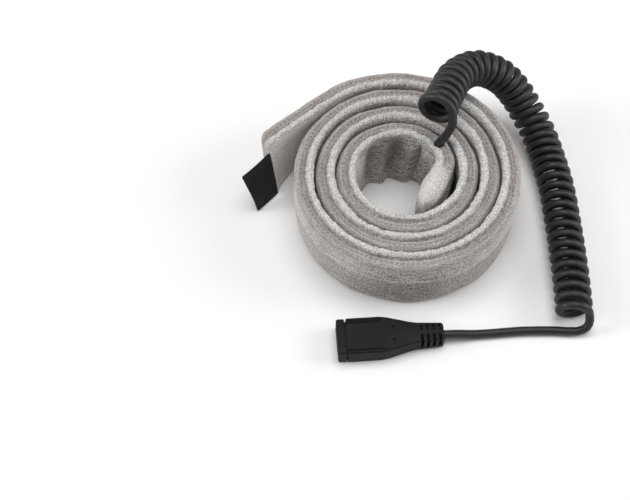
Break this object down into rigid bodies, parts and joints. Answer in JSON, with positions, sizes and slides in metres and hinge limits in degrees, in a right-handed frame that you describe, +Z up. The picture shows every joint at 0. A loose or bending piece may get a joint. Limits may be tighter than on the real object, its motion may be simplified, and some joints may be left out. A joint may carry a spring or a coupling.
{
  "type": "telescope dew heater strip",
  "caption": "Padded fleece heater strip rolled on its edge, with a heating wire inside, a curly power lead and an inline socket for a small power plug.",
  "frame": {"origin": "under the middle of the rolled strip and its label, on the surface that the strip stands on", "axes": "+Z up across the strip's width; +X from the label end towards the curly cord; +Y from the socket towards the back of the roll"},
  "size_m": [0.1191, 0.1098, 0.0472],
  "materials": {
    "fleece": "light grey short curly-pile fleece",
    "batting": "white needled batting",
    "carrier_tape": "woven glass-fibre tape",
    "resistance_wire": "drawn resistance wire",
    "shrink_sleeve": "black shrink sleeve",
    "red_insulation": "red wire insulation",
    "black_insulation": "black wire insulation",
    "nylon": "natural nylon tie",
    "label_tape": "black woven label tape, bare",
    "cord_jacket": "satin black flexible cord jacket",
    "socket_plastic": "fine matt black moulding",
    "shell_steel": "plated sheet steel",
    "tongue_plastic": "black insulator",
    "inner_mould_plastic": "natural pre-mould",
    "contact_brass": "plated contact"
  },
  "bodies": {
    "root": {"fleece_sleeve": "fleece", "backing_pad": "batting", "wire_carrier": "carrier_tape", "heating_wire": "resistance_wire", "splice_sleeve_red": "shrink_sleeve", "splice_sleeve_black": "shrink_sleeve", "power_wire_red": "red_insulation", "power_wire_black": "black_insulation", "cord_tie": "nylon", "entry_collar": "shrink_sleeve", "end_label": "label_tape", "cord_riser": "cord_jacket", "cord_coil": "cord_jacket", "cord_lead": "cord_jacket", "socket_housing": "socket_plastic", "socket_shell": "shell_steel", "socket_tongue": "tongue_plastic", "inner_mould": "inner_mould_plastic", "contact_1": "contact_brass", "contact_2": "contact_brass", "contact_3": "contact_brass", "contact_4": "contact_brass", "contact_5": "contact_brass", "core_red": "red_insulation", "core_black": "black_insulation"}
  },
  "joints": []
}
